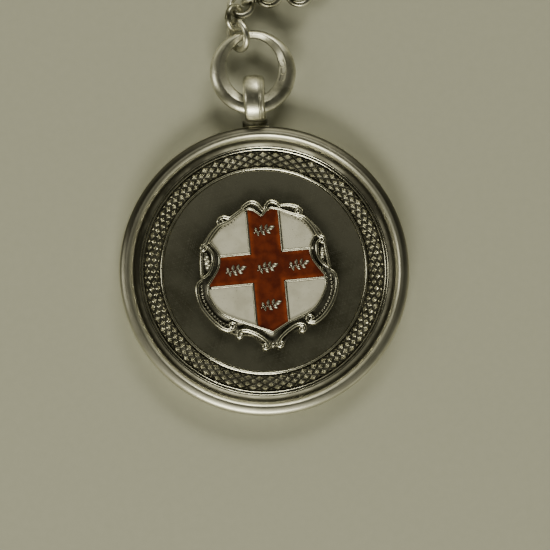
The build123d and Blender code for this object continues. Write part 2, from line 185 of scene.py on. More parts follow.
BRIGHT_SILVER = (0.76, 0.74, 0.63, 1)
WORN_SILVER = (0.47, 0.46, 0.37, 1)
TARNISH = (0.15, 0.145, 0.10, 1)
# near black for tarnish in hollows and specks, and also for painted shade on the field and rim
TARNISH_AND_SHADE_BLACK = (0.028, 0.026, 0.018, 1)


def scratched(finish, length, width):
    """Sum of three sets of fine scratches that lie different ways."""
    first = finish.strokes(12, length, width)
    second = finish.strokes(73, length * 1.3, width)
    third = finish.strokes(131, length * 0.8, width * 1.2)
    return (first + second + third) / 3


def field_finish():
    """Dull old silver, dark in clouds and finely scratched every way, with painted shadow round the shield
    and a painted sheen near the outer top.
    """
    finish = Finish("field_silver")
    clouds = finish.noise(0.22, 5.0)
    specks = finish.noise(5.0, 2.0).ramp(0.62, 0.75)
    scratches = scratched(finish, 2.6, 0.035)
    hairs = scratches.ramp(0.54, 0.62)
    distance = (finish.x * finish.x + finish.y * finish.y) ** 0.5
    # painted shadow: darker toward the middle round the raised shield, broken up by the clouds
    shadow = distance.ramp(9.5, 6.5) * clouds
    # painted sheen: lighter toward the field's outer edge and toward its top
    top_sheen = distance.ramp(7.5, 10.8) * (finish.y / distance).ramp(-0.4, 0.9)
    tone = finish.mix(WORN_SILVER, TARNISH, clouds.ramp(0.35, 0.68) * 0.9)
    # painted shadow round the shield, and real tarnish specks
    tone = finish.mix(tone, TARNISH_AND_SHADE_BLACK, shadow * 0.9 + specks * 0.3)
    # bright scratch hairs, and the painted sheen near the outer top
    tone = finish.mix(tone, BRIGHT_SILVER, hairs * 0.7 + top_sheen * 0.3)
    roughness = 0.27 + clouds * 0.16 - hairs * 0.06
    return finish.close(tone, roughness, 1.0, (scratches, 0.35, 0.02))


def rim_finish():
    """Silver turned on a lathe: hair lines run round it, and its cove is black with tarnish and painted
    shade; painted shade also darkens the outer slope toward the top.
    """
    finish = Finish("rim_silver")
    distance = (finish.x * finish.x + finish.y * finish.y) ** 0.5
    angle = finish.add("ShaderNodeMath", {"operation": "ARCTAN2"}, {0: finish.y, 1: finish.x})
    lines = finish.noise(1.0, 2.0, finish.vector(distance * 26, angle * 3, finish.z * 14))
    clouds = finish.noise(0.45, 4.0)
    dents = finish.noise(2.2, 2.0)
    cove = distance.ramp(rim_lip_radius + 0.03, rim_lip_radius - 0.12)
    rubbed_and_lit = distance.ramp(rim_lip_radius - 0.3, rim_inner_radius + 0.1)
    tone = finish.mix(BRIGHT_SILVER, WORN_SILVER, clouds.ramp(0.3, 0.7) * 0.5 + 0.1)
    # share toward the top, which gets more painted shade
    side = (finish.y / distance).ramp(-0.6, 0.5)
    # the cove's black eases where rubbed, and toward the bottom as painted light
    rubbed_and_lit = rubbed_and_lit * (0.15 + clouds.ramp(0.4, 0.7) * 0.3 - side * 0.15)
    # cove painted near black: tarnish in the hollow and painted shade, deeper toward the top
    tone = finish.mix(tone, TARNISH_AND_SHADE_BLACK, cove * (0.93 - rubbed_and_lit))
    # painted shade on the bead's outer slope, heaviest toward the top and light toward the bottom
    shaded_slope = distance.ramp(rim_crest_radius + 0.08, rim_crest_radius + 0.28)
    shaded_slope = shaded_slope * distance.ramp(medal_radius - 0.02, medal_radius - 0.12)
    tone = finish.mix(tone, TARNISH_AND_SHADE_BLACK, shaded_slope * (side * 0.72 + 0.2))
    roughness = 0.3 + lines * 0.1 + cove * 0.08
    return finish.close(tone, roughness, 1.0, (lines + dents * 0.8, 0.2, 0.02))


def modelled_finish(name, low, high, grain):
    """Cast silver that is bright on its high places and black in its low ones."""
    finish = Finish(name)
    clouds = finish.noise(0.8, 4.0)
    pits = finish.noise(grain, 2.0)
    depth = finish.z.ramp(high, low)
    tone = finish.mix(BRIGHT_SILVER, WORN_SILVER, clouds.ramp(0.35, 0.65) * 0.6)
    tone = finish.mix(tone, TARNISH_AND_SHADE_BLACK, depth * (0.6 + clouds * 0.4))
    roughness = 0.16 + pits * 0.14 + depth * 0.2
    return finish.close(tone, roughness, 1.0, (pits, 0.25, 0.02))


def polished_finish(name, dullness, scratch_length):
    """Silver wire and bar polished by wear, with cloudy tarnish and fine scratches."""
    finish = Finish(name)
    clouds = finish.noise(0.55, 4.0)
    spots = finish.noise(3.1, 3.0).ramp(0.6, 0.72)
    scratches = scratched(finish, scratch_length, 0.05)
    tone = finish.mix(BRIGHT_SILVER, WORN_SILVER, clouds.ramp(0.3, 0.75))
    tone = finish.mix(tone, TARNISH, dullness * clouds.ramp(0.4, 0.7) + spots * 0.3)
    roughness = 0.25 + clouds * 0.14 + spots * 0.1
    return finish.close(tone, roughness, 1.0, (scratches, 0.2, 0.02))


def steel_finish():
    """Drawn steel wire and pin, blue-grey with fine lines."""
    finish = Finish("pin_steel")
    lines = finish.strokes(0, 3.0, 0.04)
    tone = finish.mix((0.32, 0.33, 0.35, 1), (0.55, 0.56, 0.58, 1), lines)
    return finish.close(tone, 0.3 + lines * 0.12, 1.0, (lines, 0.15, 0.01))


def enamel_place(finish):
    """Distances across and along the shield, which stands turned on the medal."""
    right = finish.x - shield_centre[0]
    up = finish.y - shield_centre[1]
    turn = radians(shield_turn)
    across = right * cos(turn) + up * sin(turn)
    along = up * cos(turn) - right * sin(turn)
    return across, along


def red_enamel_finish():
    """Clear red glass over silver: deep in the middle of the arms and hotter at their edges."""
    finish = Finish("red_enamel")
    across, along = enamel_place(finish)
    inside = (cross_post_width / 2 - across.size()).most(cross_bar_width / 2 - along.size())
    clouds = finish.noise(0.9, 5.0)
    grains = finish.noise(6.0, 3.0)
    edge = inside.ramp(0.55, 0.0)
    tone = finish.mix((0.07, 0.010, 0.004, 1), (0.14, 0.024, 0.008, 1), clouds.ramp(0.3, 0.7))
    tone = finish.mix(tone, (0.27, 0.050, 0.012, 1), edge * 0.75 * clouds.ramp(0.2, 0.6))
    tone = finish.mix(tone, (0.03, 0.002, 0.001, 1), grains.ramp(0.6, 0.8) * 0.5)
    fixed = {"Coat Weight": 0.5, "Coat Roughness": 0.1, "Specular IOR Level": 0.35}
    return finish.close(tone, 0.3 + grains * 0.12, 0.0, (clouds, 0.3, 0.05), fixed)


def white_enamel_finish():
    """Opaque white glass, a little yellowed, with grey specks and a soft orange-peel face."""
    finish = Finish("white_enamel")
    clouds = finish.noise(0.5, 3.0)
    specks = finish.noise(7.0, 1.0).ramp(0.68, 0.75)
    tone = finish.mix((0.64, 0.62, 0.53, 1), (0.50, 0.48, 0.40, 1), clouds.ramp(0.35, 0.7))
    tone = finish.mix(tone, (0.22, 0.2, 0.16, 1), specks * 0.6)
    fixed = {"Coat Weight": 0.5, "Coat Roughness": 0.1, "Specular IOR Level": 0.5}
    return finish.close(tone, 0.28 + clouds * 0.1, 0.0, (clouds, 0.3, 0.05), fixed)


def floor_finish():
    """Matt pale paper board."""
    finish = Finish("pale_board")
    fibres = finish.noise(1.2, 4.0)
    tone = finish.mix((0.40, 0.40, 0.325, 1), (0.44, 0.44, 0.36, 1), fibres)
    return finish.close(tone, 0.85, 0.0, (fibres, 0.05, 0.1))


# ---------------------------------------------------------------- mesh helpers

def finished(name, mesh, material, sharp_angle=38.0):
    """Object at the origin from a mesh, its faces turned outwards and smoothed."""
    made = bmesh.new()
    made.from_mesh(mesh)
    bmesh.ops.remove_doubles(made, verts=made.verts, dist=1e-7)
    bmesh.ops.recalc_face_normals(made, faces=made.faces)
    made.to_mesh(mesh)
    made.free()
    mesh.materials.clear()
    mesh.materials.append(material)
    mesh.shade_smooth()
    mesh.set_sharp_from_angle(angle=radians(sharp_angle))
    piece = bpy.data.objects.new(name, mesh)
    bpy.context.scene.collection.objects.link(piece)
    return piece


def skin_mesh(name, rows, joined=True):
    """Mesh between closed rows of points in millimetres; joined rows close into a ring."""
    count = len(rows[0])
    points = [Vector(point) * MM for row in rows for point in row]
    faces = []
    for row in range(len(rows) if joined else len(rows) - 1):
        following = (row + 1) % len(rows)
        for step in range(count):
            beside = (step + 1) % count
            faces.append((
                row * count + step,
                row * count + beside,
                following * count + beside,
                following * count + step,
            ))
    if not joined:
        faces.append(tuple(range(count)))
        faces.append(tuple(range((len(rows) - 1) * count, len(rows) * count)))
    mesh = bpy.data.meshes.new(name)
    mesh.from_pydata(points, [], faces)
    return mesh


def smooth_path(points, steps):
    """Points of a smooth open curve through a few given ones."""
    given = [Vector(point) for point in points]
    last = len(given) - 1
    path = []
    for span in range(last):
        before, start, end, after = (
            given[min(max(span + offset, 0), last)] for offset in (-1, 0, 1, 2)
        )
        for step in range(steps):
            t = step / steps
            path.append(0.5 * (
                2 * start
                + (end - before) * t
                + (2 * before - 5 * start + 4 * end - after) * t ** 2
                + (3 * start - before - 3 * end + after) * t ** 3
            ))
    path.append(given[-1])
    return path


def lathe(name, outline, segments):
    """Ring turned about Z from a closed outline of (radius, height) points."""
    turns = [2 * pi * step / segments for step in range(segments)]
    rows = [[(r * cos(a), r * sin(a), z) for r, z in outline] for a in turns]
    return skin_mesh(name, rows)


def grown(name, start, recipe, sizes):
    """Mesh that a Geometry Nodes recipe makes from a starting mesh and named sizes."""
    group = bpy.data.node_groups.new(name, "GeometryNodeTree")
    kinds = {
        int: "NodeSocketInt",
        float: "NodeSocketFloat",
        bpy.types.Material: "NodeSocketMaterial",
        bpy.types.Object: "NodeSocketObject",
    }
    group.interface.new_socket("Result", in_out="OUTPUT", socket_type="NodeSocketGeometry")
    group.interface.new_socket("Start", in_out="INPUT", socket_type="NodeSocketGeometry")
    identifiers = {}
    for label, value in sizes.items():
        kind = kinds[type(value)]
        made = group.interface.new_socket(label, in_out="INPUT", socket_type=kind)
        identifiers[label] = made.identifier
    tree = Tree(group)
    entry = group.nodes.new("NodeGroupInput")
    given = {socket.name: Socket(tree, socket) for socket in entry.outputs if socket.name}
    shape = recipe(tree, given)
    shape = tree.add("GeometryNodeRealizeInstances", {}, {0: shape})
    shape = tree.add("GeometryNodeSetMaterial", {}, {0: shape, "Material": given["Material"]})
    end = group.nodes.new("NodeGroupOutput")
    group.links.new(shape.socket, end.inputs[0])

    holder = bpy.data.objects.new(name, start)
    bpy.context.scene.collection.objects.link(holder)
    modifier = holder.modifiers.new(name, "NODES")
    modifier.node_group = group
    for label, value in sizes.items():
        modifier[identifiers[label]] = value
    bpy.context.view_layer.update()
    graph = bpy.context.evaluated_depsgraph_get()
    mesh = bpy.data.meshes.new_from_object(holder.evaluated_get(graph))
    holder.modifiers.remove(modifier)
    bpy.data.objects.remove(holder)
    return mesh


def swept_recipe(tree, given):
    """Sweeps a round bead along every edge path, as thick as the path's own thickness."""
    thickness = tree.add("GeometryNodeInputNamedAttribute", {"data_type": "FLOAT"}, {"Name": "thickness"})
    path = tree.add("GeometryNodeMeshToCurve", {}, {0: given["Start"]})
    bead = {"Resolution": given["Sides"], "Radius": given["Thickness"]}
    bead = tree.add("GeometryNodeCurvePrimitiveCircle", {}, bead)
    sweep = {"Curve": path, "Profile Curve": bead, "Scale": thickness, "Fill Caps": True}
    return tree.add("GeometryNodeCurveToMesh", {}, sweep)


def path_mesh(name, paths):
    """Edge mesh of several paths; each is a list of (point, thickness)."""
    points = []
    edges = []
    widths = []
    for path in paths:
        first = len(points)
        for point, width in path:
            points.append(Vector(point) * MM)
            widths.append(width)
        edges += [(first + step, first + step + 1) for step in range(len(path) - 1)]
    mesh = bpy.data.meshes.new(name)
    mesh.from_pydata(points, edges, [])
    mesh.attributes.new("thickness", "FLOAT", "POINT").data.foreach_set("value", widths)
    return mesh


def stand_for(piece, body, slot, *nodes):
    """The piece rides on a body and stands for the nodes, which it hides; the slot is not used."""
    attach(piece, body)
    if nodes:
        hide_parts(*nodes)
    return piece


def middle_of(node):
    low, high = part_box(node)
    return (low + high) / 2 / MM


def top_of(node):
    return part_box(node)[1].z / MM


# ---------------------------------------------------------------- sizes

field_height = top_of("back_plate")
medal_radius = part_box("rim_ring")[1].x / MM
rim_height = top_of("rim_ring")

rim_wall_height = 2.0
rim_crest_radius = 15.1
rim_lip_radius = 14.55
rim_lip_height = 2.15
rim_inner_radius = 13.85
edge_break = 0.3

border_inner_radius = 11.08
border_groove_radii = (11.2, 11.5, 13.35, 13.65)
border_groove_width = 0.08
border_groove_depth = 0.12
lattice_inner_radius = 11.57
lattice_outer_radius = 13.27
lattice_depth = 0.22
lattice_rows = 4
lattice_cells = 60

shield_centre = (0.35, 0.3)
shield_turn = 2.0
shield_height = 0.9
cross_post_width = 3.3
cross_bar_width = 3.1
cell_wall = 0.3
enamel_top = top_of("enamel_cross") - field_height


# ---------------------------------------------------------------- medal

def make_rim(material):
    """Rim with an upright wall, a polished bead and a steep cove down to the border."""
    wall_top = (medal_radius, rim_wall_height)
    crest = (rim_crest_radius, rim_height)
    lip = (rim_lip_radius, rim_lip_height)
    foot = (rim_inner_radius, field_height + 0.05)
    bead = smooth_path([wall_top, (15.87, 2.26), (15.6, 2.47), crest, (14.78, 2.46), lip], 8)
    cove = smooth_path([lip, (14.42, 1.8), (14.22, 1.5), foot], 8)
    turn_line = smooth_path([(medal_radius - edge_break, 0), (15.91, 0.09), (medal_radius, edge_break)], 4)
    outline = [(rim_inner_radius, 0)]
    outline += [tuple(point) for point in turn_line]
    outline += [tuple(point) for point in bead]
    outline += [tuple(point) for point in cove[1:]]
    return finished("rim_bead", lathe("rim_bead", outline, 360), material, 50)


def lattice_recipe(tree, given):
    """Rows of pointed studs round the band, each row set half a stud on from the last."""
    per_row = given["Cells"]

    def row_of_studs(corners, count, first_radius, length, flip, shift):
        index = tree.add("GeometryNodeInputIndex")
        row = ((index + 0.5) / per_row).floor()
        angle = (index - row * per_row + (row + shift).modulo(2.0) * 0.5) * (2 * pi) / per_row
        radius = first_radius + row * given["Row step"]
        place = tree.vector(radius * angle.cosine(), radius * angle.sine(), given["Foot"])
        dots = tree.add("GeometryNodePoints", {}, {"Count": count, "Position": place})
        stud = {"Vertices": corners, "Radius Bottom": 1.0, "Radius Top": 0.12, "Depth": 1.0}
        stud = tree.add("GeometryNodeMeshCone", {"fill_type": "NGON"}, stud)
        if flip:
            stud = tree.add("GeometryNodeTransform", {}, {0: stud, "Rotation": (0, 0, pi)})
        across = radius * given["Half cell"]
        inputs = {
            "Points": dots,
            "Instance": stud,
            "Rotation": tree.add("FunctionNodeEulerToRotation", {}, {0: tree.vector(0.0, 0.0, angle)}),
            "Scale": tree.vector(length, across, given["Stud height"]),
        }
        return tree.add("GeometryNodeInstanceOnPoints", {}, inputs)

    step = given["Row step"]
    inner = given["First radius"]
    rows = given["Rows"]
    whole = row_of_studs(4, per_row * rows, inner + step, step * 0.93, False, 0.0)
    low_edge = row_of_studs(3, per_row, inner + step * 0.34, step * 0.6, False, 1.0)
    high_edge = row_of_studs(3, per_row, inner + step * (rows + 0.66), step * 0.6, True, 0.0)
    join = tree.tree.nodes.new("GeometryNodeJoinGeometry")
    for part in (given["Start"], whole, low_edge, high_edge):
        tree.tree.links.new(part.socket, join.inputs[0])
    return Socket(tree, join.outputs[0])


def make_border(material):
    """Band with turned grooves each side of a sunk lattice of cut studs."""
    floor = field_height - 0.4
    half = border_groove_width / 2
    outline = [(border_inner_radius, floor), (border_inner_radius, field_height - 0.02)]
    outline.append((border_inner_radius + 0.03, field_height + 0.02))

    def groove(radius):
        return [
            (radius - half, field_height + 0.02),
            (radius, field_height - border_groove_depth),
            (radius + half, field_height + 0.02),
        ]

    def ridge(first, second):
        """Half-round ridge that fills the land between two grooves."""
        middle = (first + second) / 2
        reach = (second - first) / 2 - half
        turns = [pi * step / 6 for step in (1, 2, 3, 4, 5)]
        return [(middle - reach * cos(a), field_height + 0.02 + 0.6 * reach * sin(a)) for a in turns]

    outline += groove(border_groove_radii[0])
    outline += ridge(*border_groove_radii[:2])
    outline += groove(border_groove_radii[1])
    sunk = field_height - lattice_depth
    outline += [(lattice_inner_radius, sunk), (lattice_outer_radius, sunk)]
    outline += groove(border_groove_radii[2])
    outline += ridge(*border_groove_radii[2:])
    outline += groove(border_groove_radii[3])
    outline += ridge(border_groove_radii[3], rim_inner_radius + half)
    outline += [(rim_inner_radius, field_height + 0.02), (rim_inner_radius, floor)]
    row_step = (lattice_outer_radius - lattice_inner_radius) / (lattice_rows + 1)
    sizes = {
        "Cells": lattice_cells,
        "Rows": lattice_rows,
        "Row step": row_step * MM,
        "First radius": lattice_inner_radius * MM,
        "Half cell": pi / lattice_cells * 0.93,
        "Foot": sunk * MM,
        "Stud height": (lattice_depth + 0.03) * MM,
        "Material": material,
    }
    band = lathe("border_band", outline, 240)
    return finished("border_band", grown("cut_lattice", band, lattice_recipe, sizes), material, 20)


# ---------------------------------------------------------------- shield

def on_medal(x, y, height):
    """Point of the medal from a place on the shield and a height over the field."""
    turn = radians(shield_turn)
    return (
        shield_centre[0] + x * cos(turn) - y * sin(turn),
        shield_centre[1] + x * sin(turn) + y * cos(turn),
        field_height + height,
    )


# outside of the scrolled frame, clockwise from the middle of its top, a curve to each corner
frame_outline = (
    ((0.1, 6.3), (1.0, 7.25), (2.0, 6.65)),
    ((2.0, 6.65), (3.9, 6.3), (5.4, 4.4), (6.65, 2.5)),
    ((6.65, 2.5), (6.45, 1.2), (6.85, -0.8)),
    ((6.85, -0.8), (7.5, -2.2), (6.9, -4.1), (5.7, -5.8), (3.7, -7.2)),
    ((3.7, -7.2), (2.3, -7.35), (1.1, -8.5), (-0.25, -8.95)),
    ((-0.25, -8.95), (-1.4, -8.5), (-2.5, -7.4), (-4.0, -7.3)),
    ((-4.0, -7.3), (-6.2, -5.8), (-7.8, -3.5), (-8.1, -1.9), (-7.35, -0.6)),
    ((-7.35, -0.6), (-7.05, 1.3), (-7.0, 3.05)),
    ((-7.0, 3.05), (-5.6, 4.75), (-4.2, 6.0), (-2.3, 6.75)),
    ((-2.3, 6.75), (-1.0, 7.35), (0.1, 6.3)),
)

# edge of the enamel inside it
field_edge = (
    ((-0.15, 5.75), (0.8, 6.5), (2.0, 6.25)),
    ((2.0, 6.25), (4.4, 4.9), (5.5, 3.05)),
    ((5.5, 3.05), (4.9, 1.85), (5.05, 0.5), (6.2, -1.3)),
    ((6.2, -1.3), (6.15, -2.8), (4.7, -4.95), (1.8, -6.2)),
    ((1.8, -6.2), (-0.1, -7.2)),
    ((-0.1, -7.2), (-2.2, -6.25)),
    ((-2.2, -6.25), (-5.4, -4.7), (-6.7, -2.7), (-6.65, -1.3)),
    ((-6.65, -1.3), (-5.4, 0.5), (-5.3, 2.0), (-6.15, 3.35)),
    ((-6.15, 3.35), (-4.6, 5.0), (-2.3, 6.4)),
    ((-2.3, 6.4), (-1.3, 6.6), (-0.15, 5.75)),
)


def closed_path(curves):
    """Closed path along curves that meet at corners."""
    path = []
    for curve in curves:
        path += smooth_path(curve, 10)[:-1]
    return path


def reach_at(path, angle):
    """How far from the shield's middle a closed path lies, in the direction of an angle."""
    best = 0.0
    ahead = Vector((cos(angle), sin(angle)))
    for step, start in enumerate(path):
        along = path[(step + 1) % len(path)] - start
        turn = ahead.cross(along)
        if abs(turn) < 1e-9:
            continue
        reach = start.cross(along) / turn
        share = start.cross(ahead) / turn
        if reach > 0 and -1e-6 <= share <= 1 + 1e-6:
            best = max(best, reach)
    return best


def make_frame_bed(material):
    """Dished silver bed that the frame's scrolls stand on, round the enamel."""
    outer = closed_path(frame_outline)
    inner = closed_path(field_edge)
    section = (
        (0.0, 0.0), (0.02, 0.42), (0.08, 0.6), (0.18, 0.6), (0.32, 0.46), (0.55, 0.4),
        (0.78, 0.46), (0.9, 0.6), (0.96, 0.72), (1.0, 0.72), (1.0, 0.3), (0.5, 0.0),
    )
    rows = []
    steps = 480
    for step in range(steps):
        angle = 2 * pi * step / steps
        far = reach_at(outer, angle)
        near = reach_at(inner, angle) - 0.06
        row = []
        for share, height in section:
            reach = far + (near - far) * share
            row.append(on_medal(reach * cos(angle), reach * sin(angle), height))
        rows.append(row)
    return finished("shield_bed", skin_mesh("shield_bed", rows), material, 60)


def curl(start, middle, turns, steps=16):
    """Path that winds in from a scroll's end round the middle of its curl."""
    arm = Vector(start) - Vector(middle)
    first = atan2(arm.y, arm.x)
    path = []
    for step in range(1, steps + 1):
        share = step / steps
        reach = arm.length * (1 - 0.75 * share)
        angle = first + 2 * pi * turns * share
        path.append(Vector(middle) + Vector((reach * cos(angle), reach * sin(angle))))
    return path


# Scrolls of the frame: points, height, thickness at the start, middle and end, and the curl
# at the start and end as (middle, turns), where turns above 0 go anticlockwise.
scrolls = (
    # crests either side of the top
    (((0.05, 6.25), (-0.35, 6.9), (-1.0, 7.32), (-1.7, 7.15), (-2.3, 6.7)),
     0.85, (0.12, 0.22, 0.14), None, None),
    (((0.25, 6.3), (0.5, 6.9), (1.0, 7.22), (1.6, 7.0), (2.0, 6.55)),
     0.85, (0.12, 0.22, 0.14), None, None),
    # shoulders
    (((-2.1, 6.75), (-3.0, 6.15), (-3.7, 5.8), (-4.3, 5.95), (-4.75, 5.85)),
     0.8, (0.12, 0.22, 0.13), None, ((-4.6, 5.45), 0.9)),
    (((1.8, 6.7), (3.0, 6.65), (3.85, 6.35), (4.25, 5.95)),
     0.8, (0.12, 0.22, 0.13), None, ((3.9, 5.85), -0.9)),
    # long lines down to the ears
    (((-2.3, 6.4), (-3.75, 5.5), (-5.0, 5.0), (-6.05, 3.9), (-6.5, 3.2), (-6.85, 3.05)),
     0.88, (0.12, 0.2, 0.16), None, ((-6.8, 2.7), 0.8)),
    (((2.15, 6.15), (3.4, 5.6), (4.5, 5.15), (5.3, 4.2), (5.9, 3.05), (6.3, 2.8)),
     0.88, (0.12, 0.2, 0.16), None, ((6.25, 2.45), -0.8)),
    # outsides of the shoulders
    (((-4.75, 5.3), (-5.6, 4.6), (-6.4, 3.7), (-6.9, 3.0)), 0.68, (0.12, 0.17, 0.1), None, None),
    (((4.35, 5.4), (5.2, 4.55), (5.9, 3.7), (6.55, 2.75)), 0.68, (0.12, 0.17, 0.1), None, None),
    # the two sides of each oval shell
    (((-6.5, 2.9), (-6.0, 2.15), (-5.95, 1.3), (-6.4, 0.1), (-7.15, -0.55)),
     0.86, (0.12, 0.19, 0.12), None, None),
    (((-7.05, 2.7), (-7.2, 1.5), (-7.3, 0.1), (-7.3, -0.7)), 0.8, (0.1, 0.2, 0.12), None, None),
    (((6.1, 2.6), (5.65, 2.1), (5.6, 1.0), (6.0, 0.05), (6.65, -0.55)),
     0.86, (0.12, 0.19, 0.12), None, None),
    (((6.5, 2.4), (6.6, 1.2), (6.75, 0.1), (6.85, -0.8)), 0.8, (0.1, 0.2, 0.12), None, None),
    # long lower sides
    (((-7.3, -0.7), (-7.85, -1.15), (-8.0, -2.0), (-7.75, -3.4), (-7.0, -4.7), (-6.1, -5.8),
      (-5.15, -6.45), (-4.3, -6.4)), 0.8, (0.14, 0.23, 0.14), None, ((-4.55, -6.05), 0.95)),
    (((6.85, -0.85), (7.35, -1.45), (7.42, -2.6), (6.95, -4.1), (5.95, -5.55), (4.75, -6.45),
      (3.95, -6.4)), 0.8, (0.14, 0.23, 0.14), None, ((4.15, -6.0), -0.95)),
    # scrolls that meet at the tip
    (((-4.0, -7.1), (-3.6, -6.72), (-2.9, -6.75), (-1.9, -7.25), (-1.0, -8.0), (-0.68, -8.55)),
     0.84, (0.13, 0.22, 0.14), ((-3.7, -7.15), 0.9), ((-1.05, -8.6), -1.0)),
    (((3.5, -7.05), (3.3, -6.65), (2.6, -6.6), (1.65, -7.1), (0.8, -7.75), (0.28, -8.4)),
     0.84, (0.13, 0.22, 0.14), ((3.15, -7.05), -0.9), ((0.65, -8.5), 1.0)),
)


def scroll_path(points, height, thickness, curl_start, curl_end):
    """One scroll with its curls, thick in the middle and fine at its ends."""
    body = smooth_path(points, 8)
    path = body
    if curl_start:
        path = list(reversed(curl(points[0], *curl_start))) + path
    if curl_end:
        path = path + curl(points[-1], *curl_end)
    start, middle, end = thickness
    last = len(path) - 1
    made = []
    for step, point in enumerate(path):
        share = step / last
        edge = start if share < 0.5 else end
        swell = sin(pi * share) ** 0.7
        made.append((on_medal(point.x, point.y, height), edge + (middle - edge) * swell))
    return made


def make_scrolls(material):
    """Scrolls of the frame, the bead round the enamel and the walls between its cells."""
    paths = [scroll_path(*scroll) for scroll in scrolls]
    edge = closed_path(field_edge)
    edge.append(edge[0])
    paths.append([(on_medal(point.x, point.y, shield_height - 0.1), 0.13) for point in edge])
    post = (cross_post_width + cell_wall) / 2
    bar = (cross_bar_width + cell_wall) / 2
    wall_top = enamel_top - cell_wall / 2 + 0.09
    for side in (1, -1):
        walls = (
            ((side * post, bar), (side * post, 6.35)),
            ((side * post, bar), (side * 5.2, bar)),
            ((side * post, -bar), (side * post, -6.25)),
            ((side * post, -bar), (side * 6.4, -bar)),
        )
        for wall in walls:
            line = smooth_path(wall, 6)
            paths.append([(on_medal(point.x, point.y, wall_top), cell_wall / 2) for point in line])
    start = path_mesh("scroll_lines", paths)
    sizes = {"Sides": 12, "Thickness": MM, "Material": material}
    return finished("shield_scrolls", grown("scroll_sweep", start, swept_recipe, sizes), material, 60)


def shell_mesh(name, middle, length, width, lean, ribs):
    """Oval dome crossed by ribs, like a small shell."""
    rings = 14
    around = 56
    rows = []
    for ring in range(rings):
        share = 1 - ring / rings
        row = []
        for step in range(around):
            angle = 2 * pi * step / around
            along = share * length / 2 * sin(angle)
            across = share * width / 2 * cos(angle)
            dome = (1 - share ** 2) ** 0.5
            rib = 0.06 * cos(2 * pi * ribs * along / length) * (1 - share ** 4)
            turn = radians(lean)
            x = middle[0] + across * cos(turn) - along * sin(turn)
            y = middle[1] + across * sin(turn) + along * cos(turn)
            row.append(on_medal(x, y, 0.42 + 0.36 * dome + rib))
        rows.append(row)
    return skin_mesh(name, rows, joined=False)


def bead_recipe(tree, given):
    """A small flattened bead on every point."""
    bead = {"Segments": 10, "Rings": 6, "Radius": given["Bead radius"]}
    bead = tree.add("GeometryNodeMeshUVSphere", {}, bead)
    inputs = {"Points": given["Start"], "Instance": bead, "Scale": (1.0, 1.0, 0.8)}
    return tree.add("GeometryNodeInstanceOnPoints", {}, inputs)


# runs of small beads along the insides of the lower scrolls and along the upper sides
bead_runs = (
    ((-7.45, -1.35), (-7.4, -2.8), (-6.95, -3.9), (-6.35, -4.85), (-5.5, -5.7), (-4.9, -6.0)),
    ((6.85, -1.45), (6.85, -2.9), (6.4, -4.1), (5.7, -5.15), (4.9, -5.9), (4.4, -6.1)),
    ((-2.6, 6.15), (-3.6, 5.25), (-4.7, 4.75), (-5.6, 3.9)),
    ((2.5, 5.95), (3.5, 5.2), (4.4, 4.6), (5.2, 3.7)),
)


def make_beads(material):
    """Beaded lines of the frame."""
    spacing = 0.42
    dots = []
    for run in bead_runs:
        path = smooth_path(run, 24)
        walked = spacing
        for before, point in zip(path, path[1:]):
            walked += (point - before).length
            if walked >= spacing:
                walked -= spacing
                dots.append(Vector(on_medal(point.x, point.y, 0.6)) * MM)
    start = bpy.data.meshes.new("bead_dots")
    start.from_pydata(dots, [], [])
    sizes = {"Bead radius": 0.17 * MM, "Material": material}
    return finished("frame_beads", grown("bead_run", start, bead_recipe, sizes), material, 60)


def make_shells(material):
    """Ribbed oval shells in the notches at the frame's sides, and the drop at its tip."""
    shells = (
        shell_mesh("left_shell", (-6.6, 1.15), 2.9, 0.95, 6, 6),
        shell_mesh("right_shell", (6.15, 0.95), 2.5, 0.8, -6, 5),
        shell_mesh("tip_drop", (-0.22, -8.55), 0.75, 0.6, 0, 0),
        shell_mesh("top_drop", (0.12, 6.25), 0.7, 0.5, 0, 0),
    )
    both = bmesh.new()
    for shell in shells:
        both.from_mesh(shell)
    mesh = bpy.data.meshes.new("side_shells")
    both.to_mesh(mesh)
    both.free()
    return finished("side_shells", mesh, material, 60)


def leaf_mesh(length, width, lift, midrib):
    """Pointed leaf with a raised midrib and turned-down edges, along +X from its stem."""
    stations = 9
    rows = []
    for station in range(stations):
        share = 0.02 + 0.96 * station / (stations - 1)
        half = width / 2 * sin(pi * share ** 0.8) ** 0.8
        x = length * share
        rise = lift * sin(pi * share)
        rows.append([
            (x, -half, 0.0), (x, -half, rise * 0.35), (x, -half * 0.5, rise * 0.8 + 0.01),
            (x, -half * 0.12, rise + 0.01), (x, 0.0, rise + midrib), (x, half * 0.12, rise + 0.01),
            (x, half * 0.5, rise * 0.8 + 0.01), (x, half, rise * 0.35), (x, half, 0.0),
        ])
    return skin_mesh("leaf", rows, joined=False)


def sprig_recipe(tree, given):
    """One sprig on every point, turned with the shield."""
    sprig = tree.add("GeometryNodeObjectInfo", {}, {"Object": given["Sprig"]}, "Geometry")
    turn = tree.vector(0.0, 0.0, given["Turn"])
    rotation = tree.add("FunctionNodeEulerToRotation", {}, {0: turn})
    inputs = {"Points": given["Start"], "Instance": sprig, "Rotation": rotation}
    return tree.add("GeometryNodeInstanceOnPoints", {}, inputs)


